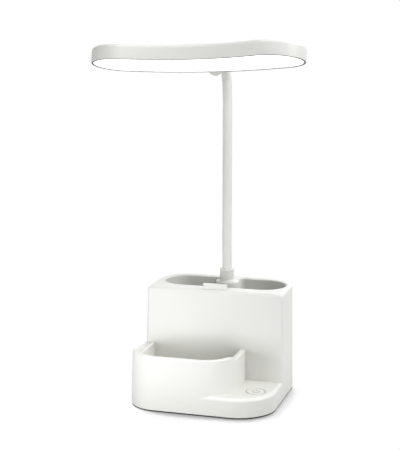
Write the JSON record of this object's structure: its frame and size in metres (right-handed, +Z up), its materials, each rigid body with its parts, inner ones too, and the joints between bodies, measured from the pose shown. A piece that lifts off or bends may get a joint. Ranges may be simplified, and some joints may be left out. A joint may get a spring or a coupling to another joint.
{
  "type": "desk lamp",
  "caption": "Rechargeable desk lamp with a long curved light head on a bendable neck, on an organiser base with pen cups, an open tray and a pull-up phone rest.",
  "frame": {"origin": "centre of the base's resting face, at table level", "axes": "+Z up, -Y towards the user, +X to the user's right"},
  "size_m": [0.2106, 0.155, 0.3591],
  "materials": {
    "shell": "fine satin warm-white moulding",
    "pad": "matte foam rubber",
    "mark": "grey print",
    "steel": "zinc-plated steel",
    "screw": "plated screws",
    "cell": "shrink-wrapped cell",
    "board": "solder mask",
    "socket": "bright formed shell",
    "connector": "nylon connector",
    "lead": "insulated wire",
    "copper": "copper foil",
    "foam": "conductive foam",
    "ferrule": "satin moulding",
    "sleeve": "smooth silicone sleeve",
    "hose": "wound steel hose",
    "diffuser": "milky light diffuser",
    "film": "white reflector film",
    "led_board": "white coated aluminium board",
    "chip": "phosphor chip"
  },
  "bodies": {
    "base": {"base_housing": "shell", "bottom_cover": "shell", "anti_slip_pad": "pad", "bottom_cover_screws": "screw", "ballast_plate": "steel", "ballast_screws": "screw", "battery_cell": "cell", "battery_clamp": "steel", "battery_clamp_screws": "screw", "main_board": "board", "board_screws": "screw", "usb_socket": "socket", "lead_plugs": "connector", "battery_lead": "lead", "touch_lead": "lead", "touch_board": "board", "touch_board_screws": "screw", "touch_electrode": "copper", "touch_contact": "foam", "touch_icon": "mark", "neck_ferrule": "ferrule", "neck_washer": "steel", "neck_nut": "steel", "neck_sleeve_1": "sleeve", "neck_hose_1": "hose", "lamp_lead": "lead"},
    "phone_rest": {"phone_rest": "shell"},
    "neck_1": {"neck_sleeve_2": "sleeve", "neck_hose_2": "hose"},
    "neck_2": {"neck_sleeve_3": "sleeve", "neck_hose_3": "hose"},
    "neck_3": {"neck_sleeve_4": "sleeve", "neck_hose_4": "hose"},
    "neck_4": {"neck_sleeve_5": "sleeve", "neck_hose_5": "hose"},
    "neck_5": {"neck_sleeve_6": "sleeve", "neck_hose_6": "hose"},
    "neck_6": {"neck_sleeve_7": "sleeve", "neck_hose_7": "hose"},
    "neck_7": {"neck_sleeve_8": "sleeve", "neck_hose_8": "hose"},
    "head": {"neck_sleeve_9": "sleeve", "neck_hose_9": "hose", "head_cover": "shell", "head_diffuser": "diffuser", "reflector_film": "film", "led_board": "led_board", "leds": "chip", "led_board_screws": "screw", "head_elbow": "ferrule", "elbow_ring": "steel", "head_lead": "lead"}
  },
  "joints": [
    {"name": "neck_sway_1", "type": "hinge", "parent": "base", "child": "neck_1", "pos_m": [-0.00002, 0.04516, 0.1335], "axis": [-0.0784, -0.9958, -0.048], "range_deg": [-16, 16]},
    {"name": "neck_nod_1", "type": "hinge", "parent": "neck_1", "child": "neck_2", "pos_m": [-0.0001, 0.04417, 0.16228], "axis": [0.9969, -0.0785, 0], "range_deg": [-15, 20]},
    {"name": "neck_sway_2", "type": "hinge", "parent": "neck_2", "child": "neck_3", "pos_m": [-0.00014, 0.04372, 0.19107], "axis": [-0.0785, -0.9968, -0.0157], "range_deg": [-16, 16]},
    {"name": "neck_nod_2", "type": "hinge", "parent": "neck_3", "child": "neck_4", "pos_m": [-0.00017, 0.04327, 0.21987], "axis": [0.9969, -0.0785, 0], "range_deg": [-15, 20]},
    {"name": "neck_sway_3", "type": "hinge", "parent": "neck_4", "child": "neck_5", "pos_m": [-0.00021, 0.04282, 0.24866], "axis": [-0.0785, -0.9968, -0.0157], "range_deg": [-16, 16]},
    {"name": "neck_nod_3", "type": "hinge", "parent": "neck_5", "child": "neck_6", "pos_m": [-0.00024, 0.04237, 0.27746], "axis": [0.9969, -0.0785, 0], "range_deg": [-15, 20]},
    {"name": "neck_sway_4", "type": "hinge", "parent": "neck_6", "child": "neck_7", "pos_m": [-0.00034, 0.04109, 0.30622], "axis": [-0.0779, -0.9896, -0.1206], "range_deg": [-16, 16]},
    {"name": "neck_nod_4", "type": "hinge", "parent": "neck_7", "child": "head", "pos_m": [-0.00143, 0.02728, 0.32943], "axis": [0.9969, -0.0785, 0], "range_deg": [-15, 20]},
    {"name": "phone_rest_slide", "type": "slide", "parent": "base", "child": "phone_rest", "axis": [0, 0, 1], "range_m": [0, 0.04]}
  ],
  "couplings": [
    {"joint": "neck_sway_2", "follows": "neck_sway_1", "ratio": 1},
    {"joint": "neck_sway_3", "follows": "neck_sway_1", "ratio": 1},
    {"joint": "neck_sway_4", "follows": "neck_sway_1", "ratio": 1},
    {"joint": "neck_nod_2", "follows": "neck_nod_1", "ratio": 1},
    {"joint": "neck_nod_3", "follows": "neck_nod_1", "ratio": 1},
    {"joint": "neck_nod_4", "follows": "neck_nod_1", "ratio": 1}
  ]
}
